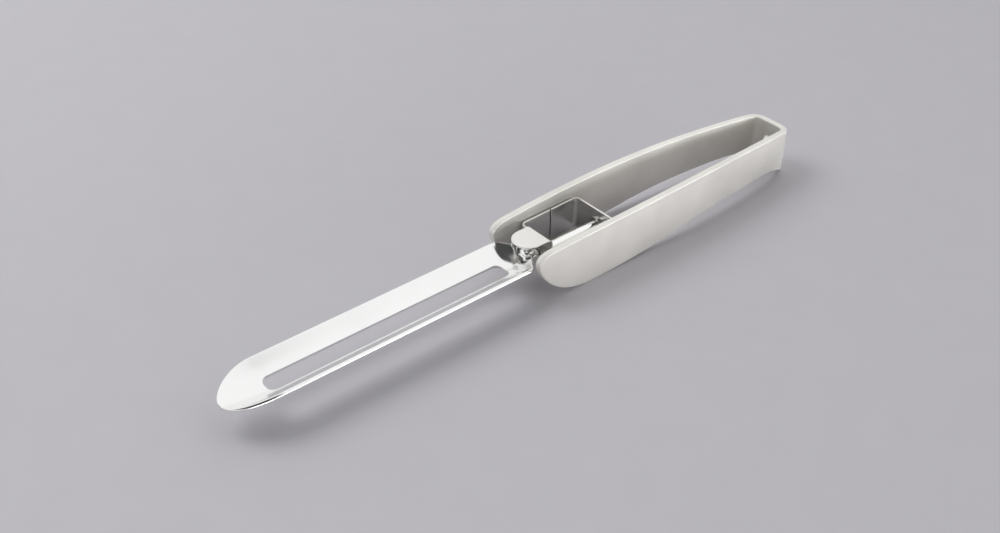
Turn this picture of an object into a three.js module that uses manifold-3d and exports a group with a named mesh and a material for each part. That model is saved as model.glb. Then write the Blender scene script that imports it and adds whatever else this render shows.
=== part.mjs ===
// Swivel peeler: a U-shaped steel handle frame, a bent sheet box held between its arms,
// and a slotted trough blade that swivels on an axle carried by the box.
// Millimetres. X runs from the blade's tip to the handle's rear end, Y is across, Z is up.
// The peeler stands on Z = 0, on the soles of its two front lobes and on its rear foot.
// X is measured from the front face of the front bush while the pieces are made.

import * as THREE from 'three';
import { mergeVertices } from 'three/addons/utils/BufferGeometryUtils.js';
import Module from 'manifold-3d';

const wasm = await Module();
wasm.setup();

// Driving dimensions of the handle frame, seen from above
const ARM_THICKNESS = 1.95;
const HANDLE_FRONT_X = -8.6;
const HANDLE_REAR_X = 94;
const FRONT_HALF_WIDTH = 10.4;
const BELLY_HALF_WIDTH = 11.12;
const BELLY_X = 26;
const REAR_HALF_WIDTH = 6.8;
const TAPER_POWER = 1.85;
const REAR_CORNER_RADIUS = 4.4;

// Driving dimensions of the handle frame, seen from the side
const CROWN_X = 38;
const CROWN_Z = 16.2;
const FRONT_ARCH_RADIUS = 770;
const REAR_ARCH_RADIUS = 640;
const NOSE_Z = 12.2;
const NOSE_ROUND_LENGTH = 5.2;
const NOSE_FULLNESS = 0.65;
const LOBE_DROP_HANDLE = 3.4;
const LOBE_SOLE_HANDLE = 11.5;
const SOLE_FRONT_X = 8.5;
const SOLE_LENGTH = 4.5;
const BELLY_RISE_X = 27;
const BELLY_RISE = 0.6;
const WAIST_FRONT_X = 50;
const WAIST_FRONT_RISE = 2.7;
const WAIST_X = 68;
const WAIST_RISE = 3.2;
const FLARE_LENGTH = 11;
const FLARE_RISE = 2.8;
const HEEL_LENGTH = 4.6;
const HEEL_RISE = 1.4;
const FOOT_LENGTH = 1.5;
const HANG_HOLE_RADIUS = 1.5;
const HANG_HOLE_Z = 7.7;

// Driving dimensions of the sheet box and its tongue
const BOX_SHEET = 0.6;
const BOX_FRONT_X = 0.6;
const BOX_REAR_X = 21.7;
const BOX_HEIGHT = 9.5;
const BOX_RIM_Z = 12.1;
const BOX_CORNER_RADIUS = 1.8;
const SEAM_X = 11.5;
const SEAM_WIDTH = 0.35;
const TONGUE_WIDTH = 8.8;
const TONGUE_FRONT_X = -8.1;
const TONGUE_TOP_Z = 13.6;
const TONGUE_BEND_RADIUS = 1.6;
const RELIEF_WIDTH = 1.1;
const RELIEF_DEPTH = 1.2;

// Driving dimensions of the axle and its bearings
const AXIS_Z = 7.3;
const AXLE_RADIUS = 1.55;
const RUNNING_CLEARANCE = 0.15;
const SEAT_CLEARANCE = 0.15;
const BUSH_WALL = 0.35;
const BUSH_FLANGE_RADIUS = 2.5;
const BUSH_FLANGE_THICKNESS = 0.6;
const BUSH_STAND_OUT = 0.8;
const WASHER_RADIUS = 2.4;
const WASHER_THICKNESS = 0.5;
const CLIP_RADIUS = 2.3;
const CLIP_THICKNESS = 0.6;
const CLIP_MOUTH = 1.5;
const GROOVE_DEPTH = 0.35;
const AXLE_TAIL = 0.8;
const TAB_LENGTH = 5;
const TAB_THICKNESS = 1.7;
const TAB_HALF_WIDTH = 1.6;

// Driving dimensions of the blade
const BLADE_SHEET = 1.0;
const BLADE_HALF_WIDTH = 7.57;
const BLADE_DEPTH = 3.5;
const EDGE_RISE = 3.23;
const TIP_X = -95.9;
const TIP_LENGTH = 12.9;
const TIP_FULLNESS = 0.56;
const TIP_CURL = 1.1;
const TIP_END_SHARE = 0.99;
const SLOT_FRONT_X = -83.8;
const SLOT_REAR_X = -11.4;
const SLOT_HALF_WIDTH = 2.8;
const SLOT_CORNER_RADIUS = 2;
const NECK_START_X = -10.4;
const NECK_DROP_X = -6.5;
const NECK_NARROW_X = -2.6;
const NECK_SIDE_ROOM = 1;
const NECK_DEPTH = 2.2;
const NECK_SQUARENESS = 5;

// Driving dimensions of the rivet that joins blade and axle
const RIVET_FROM_TAB_END = 1.9;
const RIVET_SHANK_RADIUS = 0.9;
const RIVET_HEAD_RADIUS = 2.05;
const RIVET_HEAD_HEIGHT = 1.8;
const RIVET_TAIL_RADIUS = 1.6;
const RIVET_TAIL_HEIGHT = 0.8;
const RIVET_WASHER_RADIUS = 1.9;

// Facet counts, and how far a cutting body reaches past what it cuts
const ROUND_SIDES = 28;
const PLAN_STEPS = 26;
const ARC_STEPS = 8;
const SECTION_STEPS = 18;
const TIP_RINGS = 12;
const NECK_RINGS = 10;
const BODY_RINGS = 4;
const TIP_CROWDING = 2;
const WELD_DISTANCE = 1e-5;
const OVERCUT = 1;

// Places that follow from the driving dimensions
const BOX_FLOOR_Z = BOX_RIM_Z - BOX_HEIGHT;
const BORE_RADIUS = AXLE_RADIUS + RUNNING_CLEARANCE;
const BUSH_RADIUS = BORE_RADIUS + BUSH_WALL;
const BUSH_HOLE_RADIUS = BUSH_RADIUS + SEAT_CLEARANCE;
const FRONT_FLANGE_X = BOX_FRONT_X - BUSH_FLANGE_THICKNESS;
const FRONT_WASHER_X = FRONT_FLANGE_X - RUNNING_CLEARANCE - WASHER_THICKNESS;
const TAB_REAR_X = FRONT_WASHER_X - SEAT_CLEARANCE;
const TAB_FRONT_X = TAB_REAR_X - TAB_LENGTH;
const NECK_END_X = TAB_REAR_X - 2 * SEAT_CLEARANCE;
const RIVET_X = TAB_FRONT_X + RIVET_FROM_TAB_END;
const FRONT_WALL_X = BOX_FRONT_X + BOX_SHEET;
const REAR_WALL_X = BOX_REAR_X - BOX_SHEET;
const REAR_WASHER_X = BOX_REAR_X + BUSH_STAND_OUT + RUNNING_CLEARANCE;
const CLIP_X = REAR_WASHER_X + WASHER_THICKNESS + SEAT_CLEARANCE;
const AXLE_REAR_X = CLIP_X + CLIP_THICKNESS + AXLE_TAIL;
const EDGE_Z = AXIS_Z + EDGE_RISE;
const CHANNEL_Z = EDGE_Z - BLADE_DEPTH;
const TAB_FLOOR_Z = CHANNEL_Z + 2 * SEAT_CLEARANCE;
const TAB_TOP_Z = TAB_FLOOR_Z + TAB_THICKNESS;
const NECK_HALF_WIDTH = TAB_HALF_WIDTH + NECK_SIDE_ROOM;
const NECK_FLOOR_Z = CHANNEL_Z - BLADE_SHEET;
const NECK_RIM_Z = CHANNEL_Z + NECK_DEPTH;
const TIP_START_X = TIP_X + TIP_LENGTH;
const BLADE_FRONT_X = TIP_START_X - TIP_LENGTH * TIP_END_SHARE;
const ORIGIN_X = (BLADE_FRONT_X + HANDLE_REAR_X) / 2;

// Joining and cutting of closed meshes

function solidOf(geometry) {
  const bare = geometry.clone();
  bare.deleteAttribute('normal');
  bare.deleteAttribute('uv');
  const merged = mergeVertices(bare, WELD_DISTANCE);
  const vertProperties = new Float32Array(merged.attributes.position.array);
  const triVerts = new Uint32Array(merged.index.array);
  return new wasm.Manifold(new wasm.Mesh({ numProp: 3, vertProperties, triVerts }));
}

function geometryOf(solid) {
  const mesh = solid.getMesh();
  const geometry = new THREE.BufferGeometry();
  geometry.setAttribute('position', new THREE.BufferAttribute(new Float32Array(mesh.vertProperties), 3));
  geometry.setIndex(new THREE.BufferAttribute(new Uint32Array(mesh.triVerts), 1));
  geometry.computeVertexNormals();
  return geometry;
}

// Basic bodies

function uprightPrism(shape, fromZ, toZ, curveSegments = ARC_STEPS) {
  const options = { depth: toZ - fromZ, bevelEnabled: false, curveSegments };
  const geometry = new THREE.ExtrudeGeometry(shape, options);
  return solidOf(geometry.translate(0, 0, fromZ));
}

function crosswisePrism(sideShape, halfWidth, curveSegments = ARC_STEPS) {
  const options = { depth: 2 * halfWidth, bevelEnabled: false, curveSegments };
  const geometry = new THREE.ExtrudeGeometry(sideShape, options);
  geometry.translate(0, 0, -halfWidth);
  return solidOf(geometry.rotateX(Math.PI / 2));
}

function lengthwiseDisc(radius, fromX, toX, z = AXIS_Z) {
  const geometry = new THREE.CylinderGeometry(radius, radius, toX - fromX, ROUND_SIDES);
  geometry.rotateZ(Math.PI / 2);
  return solidOf(geometry.translate((fromX + toX) / 2, 0, z));
}

function lengthwiseRing(outerRadius, innerRadius, fromX, toX) {
  const disc = lengthwiseDisc(outerRadius, fromX, toX);
  return disc.subtract(lengthwiseDisc(innerRadius, fromX - OVERCUT, toX + OVERCUT));
}

function uprightDisc(radius, x, fromZ, toZ) {
  const geometry = new THREE.CylinderGeometry(radius, radius, toZ - fromZ, ROUND_SIDES);
  geometry.rotateX(Math.PI / 2);
  return solidOf(geometry.translate(x, 0, (fromZ + toZ) / 2));
}

function block(fromX, toX, halfWidth, fromZ, toZ) {
  const geometry = new THREE.BoxGeometry(toX - fromX, 2 * halfWidth, toZ - fromZ);
  return solidOf(geometry.translate((fromX + toX) / 2, 0, (fromZ + toZ) / 2));
}

function roundedRectangle(fromX, toX, fromHalf, radius, toHalf = fromHalf) {
  const shape = new THREE.Shape();
  shape.moveTo(fromX + radius, -fromHalf);
  shape.lineTo(toX - radius, -toHalf);
  shape.absarc(toX - radius, -toHalf + radius, radius, -Math.PI / 2, 0);
  shape.lineTo(toX, toHalf - radius);
  shape.absarc(toX - radius, toHalf - radius, radius, 0, Math.PI / 2);
  shape.lineTo(fromX + radius, fromHalf);
  shape.absarc(fromX + radius, fromHalf - radius, radius, Math.PI / 2, Math.PI);
  shape.lineTo(fromX, -fromHalf + radius);
  shape.absarc(fromX + radius, -fromHalf + radius, radius, Math.PI, 1.5 * Math.PI);
  return shape;
}

// Handle frame: the arms swell to a belly and then draw in to the rear wall

function outerHalfWidth(x) {
  if (x < BELLY_X) {
    const share = (BELLY_X - x) / (BELLY_X - HANDLE_FRONT_X);
    return BELLY_HALF_WIDTH - (BELLY_HALF_WIDTH - FRONT_HALF_WIDTH) * share ** 2;
  }
  const share = (x - BELLY_X) / (HANDLE_REAR_X - BELLY_X);
  return BELLY_HALF_WIDTH - (BELLY_HALF_WIDTH - REAR_HALF_WIDTH) * share ** TAPER_POWER;
}

function innerHalfWidth(x) {
  const step = 0.01;
  const slope = (outerHalfWidth(x + step) - outerHalfWidth(x - step)) / (2 * step);
  return outerHalfWidth(x) - ARM_THICKNESS * Math.hypot(1, slope);
}

function topZ(x) {
  const radius = x < CROWN_X ? FRONT_ARCH_RADIUS : REAR_ARCH_RADIUS;
  return CROWN_Z - (x - CROWN_X) ** 2 / (2 * radius);
}

// One arm's outline from front to rear and round its rear corner to the middle of the rear wall
function armOutline(halfWidthAt, frontX, rearX, cornerRadius) {
  const points = [];
  const cornerX = rearX - cornerRadius;
  for (let step = 0; step <= PLAN_STEPS; step += 1) {
    const x = frontX + ((cornerX - frontX) * step) / PLAN_STEPS;
    points.push(new THREE.Vector2(x, halfWidthAt(x)));
  }
  const corner = new THREE.QuadraticBezierCurve(
    points[PLAN_STEPS],
    new THREE.Vector2(rearX, halfWidthAt(rearX)),
    new THREE.Vector2(rearX, halfWidthAt(rearX) - cornerRadius),
  );
  points.push(...corner.getPoints(ARC_STEPS).slice(1));
  return points;
}

function mirrored(points) {
  return points.map((point) => new THREE.Vector2(point.x, -point.y)).reverse();
}

function framePlan() {
  const frontX = HANDLE_FRONT_X - ARM_THICKNESS;
  const innerRadius = Math.max(REAR_CORNER_RADIUS - ARM_THICKNESS, ARM_THICKNESS / 4);
  const outer = armOutline(outerHalfWidth, frontX, HANDLE_REAR_X, REAR_CORNER_RADIUS);
  const inner = armOutline(innerHalfWidth, frontX, HANDLE_REAR_X - ARM_THICKNESS, innerRadius);
  const outline = [...outer, ...mirrored(outer)];
  const hollow = [...inner, ...mirrored(inner)];
  return new THREE.Shape([...outline, ...hollow.reverse()]);
}

// Side outline: arched top, round nose, slanting lobe down to the sole, waist, flared rear foot
function frameProfile() {
  const beyondX = HANDLE_REAR_X + ARM_THICKNESS;
  const noseTopX = HANDLE_FRONT_X + NOSE_ROUND_LENGTH;
  const noseTopZ = topZ(noseTopX);
  const soleRearX = SOLE_FRONT_X + SOLE_LENGTH;
  const noseRise = noseTopZ - NOSE_Z;
  const shape = new THREE.Shape();
  shape.moveTo(beyondX, 0);
  for (let step = 0; step <= PLAN_STEPS; step += 1) {
    const x = beyondX + ((noseTopX - beyondX) * step) / PLAN_STEPS;
    shape.lineTo(x, topZ(x));
  }
  shape.bezierCurveTo(
    noseTopX - NOSE_ROUND_LENGTH / 2, noseTopZ,
    HANDLE_FRONT_X, NOSE_Z + NOSE_FULLNESS * noseRise,
    HANDLE_FRONT_X, NOSE_Z,
  );
  shape.bezierCurveTo(
    HANDLE_FRONT_X, NOSE_Z - LOBE_DROP_HANDLE,
    SOLE_FRONT_X - LOBE_SOLE_HANDLE, 0,
    SOLE_FRONT_X, 0,
  );
  shape.lineTo(soleRearX, 0);
  shape.splineThru([
    new THREE.Vector2(BELLY_RISE_X, BELLY_RISE),
    new THREE.Vector2(WAIST_FRONT_X, WAIST_FRONT_RISE),
    new THREE.Vector2(WAIST_X, WAIST_RISE),
    new THREE.Vector2(HANDLE_REAR_X - FLARE_LENGTH, FLARE_RISE),
    new THREE.Vector2(HANDLE_REAR_X - HEEL_LENGTH, HEEL_RISE),
    new THREE.Vector2(HANDLE_REAR_X - FOOT_LENGTH, 0),
  ]);
  return shape;
}

function handleFrame() {
  const plan = uprightPrism(framePlan(), -OVERCUT, CROWN_Z + OVERCUT);
  const side = crosswisePrism(frameProfile(), BELLY_HALF_WIDTH + ARM_THICKNESS, 2 * ARC_STEPS);
  const rearWallX = HANDLE_REAR_X - ARM_THICKNESS;
  const hole = lengthwiseDisc(HANG_HOLE_RADIUS, rearWallX - OVERCUT, HANDLE_REAR_X + OVERCUT, HANG_HOLE_Z);
  return plan.intersect(side).subtract(hole);
}

// Box: one bent sheet that lies against both arms, with a butt seam in its far wall
// and a tongue that rises from its front wall and bends forward over the neck

function boxPlan(inset) {
  const fromX = BOX_FRONT_X + inset;
  const toX = BOX_REAR_X - inset;
  const radius = BOX_CORNER_RADIUS - inset;
  const [fromHalf, toHalf] = [fromX, toX].map((x) => innerHalfWidth(x) - 2 * SEAT_CLEARANCE - inset);
  return roundedRectangle(fromX, toX, fromHalf, radius, toHalf);
}

function tonguePlan() {
  const radius = TONGUE_WIDTH / 2;
  const centreX = TONGUE_FRONT_X + radius;
  const shape = new THREE.Shape();
  shape.moveTo(BOX_REAR_X, -radius);
  shape.lineTo(BOX_REAR_X, radius);
  shape.lineTo(centreX, radius);
  shape.absarc(centreX, 0, radius, Math.PI / 2, 1.5 * Math.PI);
  return shape;
}

function tongueProfile() {
  const innerRadius = TONGUE_BEND_RADIUS - BOX_SHEET;
  const bendX = FRONT_WALL_X - TONGUE_BEND_RADIUS;
  const bendZ = TONGUE_TOP_Z - TONGUE_BEND_RADIUS;
  const rootZ = BOX_RIM_Z - RELIEF_DEPTH - BOX_SHEET;
  const shape = new THREE.Shape();
  shape.moveTo(FRONT_WALL_X, rootZ);
  shape.lineTo(FRONT_WALL_X, bendZ);
  shape.absarc(bendX, bendZ, TONGUE_BEND_RADIUS, 0, Math.PI / 2);
  shape.lineTo(TONGUE_FRONT_X - OVERCUT, TONGUE_TOP_Z);
  shape.lineTo(TONGUE_FRONT_X - OVERCUT, TONGUE_TOP_Z - BOX_SHEET);
  shape.lineTo(bendX, TONGUE_TOP_Z - BOX_SHEET);
  shape.absarc(bendX, bendZ, innerRadius, Math.PI / 2, 0, true);
  shape.lineTo(BOX_FRONT_X, rootZ);
  return shape;
}

function swivelBox() {
  const seam = new THREE.BoxGeometry(SEAM_WIDTH, 4 * BOX_SHEET, BOX_HEIGHT + 2 * OVERCUT);
  seam.translate(SEAM_X, innerHalfWidth(SEAM_X), BOX_FLOOR_Z + BOX_HEIGHT / 2);
  const relief = block(
    BOX_FRONT_X - OVERCUT,
    FRONT_WALL_X + OVERCUT,
    TONGUE_WIDTH / 2 + RELIEF_WIDTH,
    BOX_RIM_Z - RELIEF_DEPTH,
    BOX_RIM_Z + OVERCUT,
  );
  const tongue = crosswisePrism(tongueProfile(), TONGUE_WIDTH)
    .intersect(uprightPrism(tonguePlan(), BOX_FLOOR_Z, CROWN_Z, 2 * ARC_STEPS));
  return uprightPrism(boxPlan(0), BOX_FLOOR_Z, BOX_RIM_Z)
    .subtract(uprightPrism(boxPlan(BOX_SHEET), BOX_FLOOR_Z - OVERCUT, BOX_RIM_Z + OVERCUT))
    .subtract(solidOf(seam))
    .subtract(relief)
    .add(tongue)
    .subtract(lengthwiseDisc(BUSH_HOLE_RADIUS, BOX_FRONT_X - OVERCUT, FRONT_WALL_X + OVERCUT))
    .subtract(lengthwiseDisc(BUSH_HOLE_RADIUS, REAR_WALL_X - OVERCUT, BOX_REAR_X + OVERCUT));
}

// Bearings, with the front flange outside the box and the rear flange inside it

function frontBush() {
  const endX = FRONT_WALL_X + BUSH_STAND_OUT;
  const flange = lengthwiseDisc(BUSH_FLANGE_RADIUS, FRONT_FLANGE_X, BOX_FRONT_X);
  const sleeve = lengthwiseDisc(BUSH_RADIUS, (FRONT_FLANGE_X + BOX_FRONT_X) / 2, endX);
  const bore = lengthwiseDisc(BORE_RADIUS, FRONT_FLANGE_X - OVERCUT, endX + OVERCUT);
  return flange.add(sleeve).subtract(bore);
}

function rearBush() {
  const endX = BOX_REAR_X + BUSH_STAND_OUT;
  const flangeX = REAR_WALL_X - BUSH_FLANGE_THICKNESS;
  const flange = lengthwiseDisc(BUSH_FLANGE_RADIUS, flangeX, REAR_WALL_X);
  const sleeve = lengthwiseDisc(BUSH_RADIUS, (flangeX + REAR_WALL_X) / 2, endX);
  const bore = lengthwiseDisc(BORE_RADIUS, flangeX - OVERCUT, endX + OVERCUT);
  return flange.add(sleeve).subtract(bore);
}

// Axle: a round rod with a flat tab in front and a clip groove behind

function axle() {
  const rod = lengthwiseDisc(AXLE_RADIUS, TAB_REAR_X - SEAT_CLEARANCE, AXLE_REAR_X);
  const tab = block(TAB_FRONT_X, TAB_REAR_X, TAB_HALF_WIDTH, TAB_FLOOR_Z, TAB_TOP_Z);
  const groove = lengthwiseRing(
    AXLE_RADIUS + OVERCUT,
    AXLE_RADIUS - GROOVE_DEPTH,
    CLIP_X - SEAT_CLEARANCE,
    CLIP_X + CLIP_THICKNESS + SEAT_CLEARANCE,
  );
  return rod.add(tab).subtract(groove).subtract(rivetHole());
}

function rivetHole() {
  return uprightDisc(RIVET_SHANK_RADIUS + SEAT_CLEARANCE, RIVET_X, 0, CROWN_Z);
}

function axleWasher(fromX) {
  return lengthwiseRing(WASHER_RADIUS, BORE_RADIUS, fromX, fromX + WASHER_THICKNESS);
}

// Open retaining clip, with its mouth downwards
function axleClip() {
  const toX = CLIP_X + CLIP_THICKNESS;
  const ring = lengthwiseRing(CLIP_RADIUS, AXLE_RADIUS - GROOVE_DEPTH + SEAT_CLEARANCE, CLIP_X, toX);
  const mouth = block(CLIP_X - OVERCUT, toX + OVERCUT, CLIP_MOUTH / 2, AXIS_Z - 2 * CLIP_RADIUS, AXIS_Z);
  return ring.subtract(mouth);
}

// Blade: a sheet channel of parabolic section, trimmed round and curled up at the tip,
// that narrows to a square cradle under the axle's tab

function sectionAt(x) {
  const tip = THREE.MathUtils.clamp((TIP_START_X - x) / TIP_LENGTH, 0, 1);
  const plan = (1 - tip ** 2) ** TIP_FULLNESS;
  const neck = THREE.MathUtils.smoothstep(x, NECK_START_X, NECK_NARROW_X);
  const drop = THREE.MathUtils.smoothstep(x, NECK_DROP_X, NECK_NARROW_X);
  return {
    half: THREE.MathUtils.lerp(BLADE_HALF_WIDTH, NECK_HALF_WIDTH, neck) * plan,
    depth: (THREE.MathUtils.lerp(EDGE_Z, NECK_RIM_Z, drop) - CHANNEL_Z) * plan ** 2,
    floorZ: CHANNEL_Z + TIP_CURL * tip ** 2,
    power: THREE.MathUtils.lerp(2, NECK_SQUARENESS, neck),
  };
}

function sectionRing(x) {
  const { half, depth, floorZ, power } = sectionAt(x);
  const ring = [];
  const point = (step, sheet) => {
    const share = Math.sin(Math.PI * (step / SECTION_STEPS - 0.5));
    const slope = (Math.sign(share) * depth * power * Math.abs(share) ** (power - 1)) / half;
    const reach = sheet / Math.hypot(1, slope);
    ring.push(x, half * share + reach * slope, floorZ + depth * Math.abs(share) ** power - reach);
  };
  for (let step = 0; step <= SECTION_STEPS; step += 1) {
    point(step, 0);
  }
  for (let step = SECTION_STEPS; step >= 0; step -= 1) {
    point(step, BLADE_SHEET);
  }
  return ring;
}

function bladeStations() {
  const stations = [];
  for (let ring = 0; ring < TIP_RINGS; ring += 1) {
    const share = TIP_END_SHARE * (1 - (ring / TIP_RINGS) ** TIP_CROWDING);
    stations.push(TIP_START_X - TIP_LENGTH * share);
  }
  for (let ring = 0; ring < BODY_RINGS; ring += 1) {
    stations.push(TIP_START_X + ((NECK_START_X - TIP_START_X) * ring) / BODY_RINGS);
  }
  for (let ring = 0; ring <= NECK_RINGS; ring += 1) {
    stations.push(NECK_START_X + ((NECK_NARROW_X - NECK_START_X) * ring) / NECK_RINGS);
  }
  stations.push(NECK_END_X);
  return stations;
}

function bladeTrough() {
  const stations = bladeStations();
  const around = 2 * (SECTION_STEPS + 1);
  const positions = stations.flatMap((x) => sectionRing(x));
  const indices = [];
  for (let ring = 0; ring < stations.length - 1; ring += 1) {
    for (let k = 0; k < around; k += 1) {
      const a = ring * around + k;
      const b = ring * around + ((k + 1) % around);
      indices.push(a, a + around, b, b, a + around, b + around);
    }
  }
  const lastRing = (stations.length - 1) * around;
  for (let k = 0; k < SECTION_STEPS; k += 1) {
    const opposite = around - 1 - k;
    indices.push(k, k + 1, opposite, k + 1, opposite - 1, opposite);
    indices.push(lastRing + k, lastRing + opposite, lastRing + k + 1);
    indices.push(lastRing + k + 1, lastRing + opposite, lastRing + opposite - 1);
  }
  const geometry = new THREE.BufferGeometry();
  geometry.setAttribute('position', new THREE.Float32BufferAttribute(positions, 3));
  geometry.setIndex(indices);
  return solidOf(geometry);
}

function blade() {
  const slot = roundedRectangle(SLOT_FRONT_X, SLOT_REAR_X, SLOT_HALF_WIDTH, SLOT_CORNER_RADIUS);
  return bladeTrough().subtract(uprightPrism(slot, 0, CROWN_Z)).subtract(rivetHole());
}

// Rivet: domed head on the tab, shank through tab and neck, flat tail under its washer

function bladeRivet() {
  const tailTopZ = NECK_FLOOR_Z - WASHER_THICKNESS;
  const tailZ = tailTopZ - RIVET_TAIL_HEIGHT;
  const profile = new THREE.Path();
  profile.moveTo(0, tailZ);
  profile.lineTo(RIVET_TAIL_RADIUS, tailZ);
  profile.lineTo(RIVET_TAIL_RADIUS, tailTopZ);
  profile.lineTo(RIVET_SHANK_RADIUS, tailTopZ);
  profile.lineTo(RIVET_SHANK_RADIUS, TAB_TOP_Z);
  profile.lineTo(RIVET_HEAD_RADIUS, TAB_TOP_Z);
  profile.absellipse(0, TAB_TOP_Z, RIVET_HEAD_RADIUS, RIVET_HEAD_HEIGHT, 0, Math.PI / 2, false);
  const points = profile.getPoints(ARC_STEPS);
  points[points.length - 1].x = 0;
  const geometry = new THREE.LatheGeometry(points, ROUND_SIDES);
  return geometry.rotateX(Math.PI / 2).translate(RIVET_X, 0, 0);
}

function rivetWasher() {
  const fromZ = NECK_FLOOR_Z - WASHER_THICKNESS;
  const disc = uprightDisc(RIVET_WASHER_RADIUS, RIVET_X, fromZ, NECK_FLOOR_Z);
  return disc.subtract(rivetHole());
}

// Finishes

const satinSteel = new THREE.MeshStandardMaterial({ color: 0xb4b1aa, roughness: 0.45, metalness: 1 });
const sheetSteel = new THREE.MeshStandardMaterial({ color: 0xa5a29c, roughness: 0.4, metalness: 1 });
const polishedSteel = new THREE.MeshStandardMaterial({ color: 0xdcdcda, roughness: 0.12, metalness: 1 });
const bearingMetal = new THREE.MeshStandardMaterial({ color: 0x8f8d8a, roughness: 0.3, metalness: 1 });

// Assembly

function piece(name, geometry, material) {
  const mesh = new THREE.Mesh(geometry, material);
  mesh.name = name;
  return mesh;
}

const handle = new THREE.Group();
handle.add(
  piece('handle_frame', geometryOf(handleFrame()), satinSteel.clone()),
  piece('swivel_box', geometryOf(swivelBox()), sheetSteel.clone()),
  piece('front_bush', geometryOf(frontBush()), bearingMetal.clone()),
  piece('rear_bush', geometryOf(rearBush()), bearingMetal.clone()),
);

const swivel = new THREE.Group();
swivel.add(
  piece('blade', geometryOf(blade()), polishedSteel.clone()),
  piece('axle', geometryOf(axle()), polishedSteel.clone()),
  piece('blade_rivet', bladeRivet(), polishedSteel.clone()),
  piece('rivet_washer', geometryOf(rivetWasher()), bearingMetal.clone()),
  piece('front_washer', geometryOf(axleWasher(FRONT_WASHER_X)), bearingMetal.clone()),
  piece('rear_washer', geometryOf(axleWasher(REAR_WASHER_X)), bearingMetal.clone()),
  piece('axle_clip', geometryOf(axleClip()), bearingMetal.clone()),
);

const peeler = new THREE.Group();
peeler.add(handle, swivel);
peeler.position.x = -ORIGIN_X;

export default peeler;
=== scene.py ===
"""Looks of a straight steel swivel peeler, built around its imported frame.

Sizes are in millimetres as in the part's source: X from the front face of the front bush, Z from the table.
The floor's half size and the lamp's place and size are in metres.
"""

import math

import bmesh
import bpy
import numpy as np
from mathutils import Matrix, Vector


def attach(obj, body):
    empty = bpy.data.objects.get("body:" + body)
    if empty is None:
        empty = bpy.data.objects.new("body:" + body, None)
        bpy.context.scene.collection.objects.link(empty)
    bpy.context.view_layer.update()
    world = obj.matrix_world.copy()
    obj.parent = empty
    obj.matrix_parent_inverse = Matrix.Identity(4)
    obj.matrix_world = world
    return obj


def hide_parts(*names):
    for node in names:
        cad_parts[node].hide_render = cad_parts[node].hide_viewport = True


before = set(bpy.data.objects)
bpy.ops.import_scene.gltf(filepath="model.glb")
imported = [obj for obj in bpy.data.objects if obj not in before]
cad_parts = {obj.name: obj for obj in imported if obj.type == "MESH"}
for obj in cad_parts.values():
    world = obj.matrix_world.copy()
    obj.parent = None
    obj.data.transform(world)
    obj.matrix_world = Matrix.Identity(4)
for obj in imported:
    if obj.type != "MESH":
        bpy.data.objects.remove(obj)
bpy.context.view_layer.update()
scene = bpy.context.scene

MM = 0.001

# Handle frame, seen from above
ARM_THICKNESS = 1.95
ARM_EDGE_ROUND = 0.35
HANDLE_FRONT_X = -8.6
HANDLE_REAR_X = 94.0
FRONT_HALF_WIDTH = 10.4
BELLY_HALF_WIDTH = 11.12
BELLY_X = 26.0
REAR_HALF_WIDTH = 6.8
TAPER_POWER = 1.85
REAR_CORNER_RADIUS = 4.4

# Handle frame, seen from the side; flare points count X from the rear end
CROWN_X = 38.0
CROWN_Z = 16.2
FRONT_ARCH_RADIUS = 770.0
REAR_ARCH_RADIUS = 640.0
NOSE_Z = 12.2
NOSE_ROUND_LENGTH = 5.2
NOSE_FULLNESS = 0.65
LOBE_DROP_HANDLE = 3.4
LOBE_SOLE_HANDLE = 11.5
SOLE_FRONT_X = 8.5
SOLE_REAR_X = 13.0
WAIST_POINTS = ((27.0, 0.6), (50.0, 2.7), (68.0, 3.2))
FLARE_POINTS = ((-11.0, 2.8), (-4.6, 1.4), (-1.5, 0.0))
HANG_HOLE_RADIUS = 1.5
HANG_HOLE_Z = 7.7

# Sheet box with its tongue
BOX_SHEET = 0.6
BOX_FRONT_X = 0.6
BOX_REAR_X = 21.7
BOX_FLOOR_Z = 2.6
BOX_RIM_Z = 12.1
BOX_CORNER_RADIUS = 1.8
BOX_GAP = 0.3
BOX_EDGE_ROUND = 0.15
SEAM_X = 11.5
SEAM_WIDTH = 0.35
TONGUE_HALF_WIDTH = 4.4
TONGUE_FRONT_X = -8.1
TONGUE_TOP_Z = 13.6
TONGUE_BEND_RADIUS = 1.6
TONGUE_SKIN = 0.02
RELIEF_WIDTH = 1.1
RELIEF_DEPTH = 1.2

# Axle and bearings
AXIS_Z = 7.3
AXLE_RADIUS = 1.55
AXLE_REAR_X = 24.7
AXLE_EDGE_ROUND = 0.25
BORE_RADIUS = 1.7
BUSH_RADIUS = 2.05
BUSH_FLANGE_RADIUS = 2.5
BUSH_FLANGE = 0.6
BUSH_STAND_OUT = 0.8
BUSH_EDGE_ROUND = 0.12
WASHER_RADIUS = 2.4
WASHER_THICKNESS = 0.5
WASHER_EDGE_ROUND = 0.1
FRONT_WASHER_X = -0.65
REAR_WASHER_X = 22.65
CLIP_X = 23.3
CLIP_THICKNESS = 0.6
CLIP_RADIUS = 2.3
CLIP_INNER_RADIUS = 1.35
CLIP_MOUTH = 1.5
CLIP_EDGE_ROUND = 0.12
GROOVE_RADIUS = 1.2
GROOVE_MARGIN = 0.15
GROOVE_SLOPE = 0.02
TAB_FRONT_X = -5.8
TAB_REAR_X = -0.8
TAB_HALF_WIDTH = 1.6
TAB_THICKNESS = 1.7
TAB_TOP_Z = 9.03
TAB_ROOT_LENGTH = 0.3
TAB_SQUARENESS = 6.0
ROUND_SQUARENESS = 2.0

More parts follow.
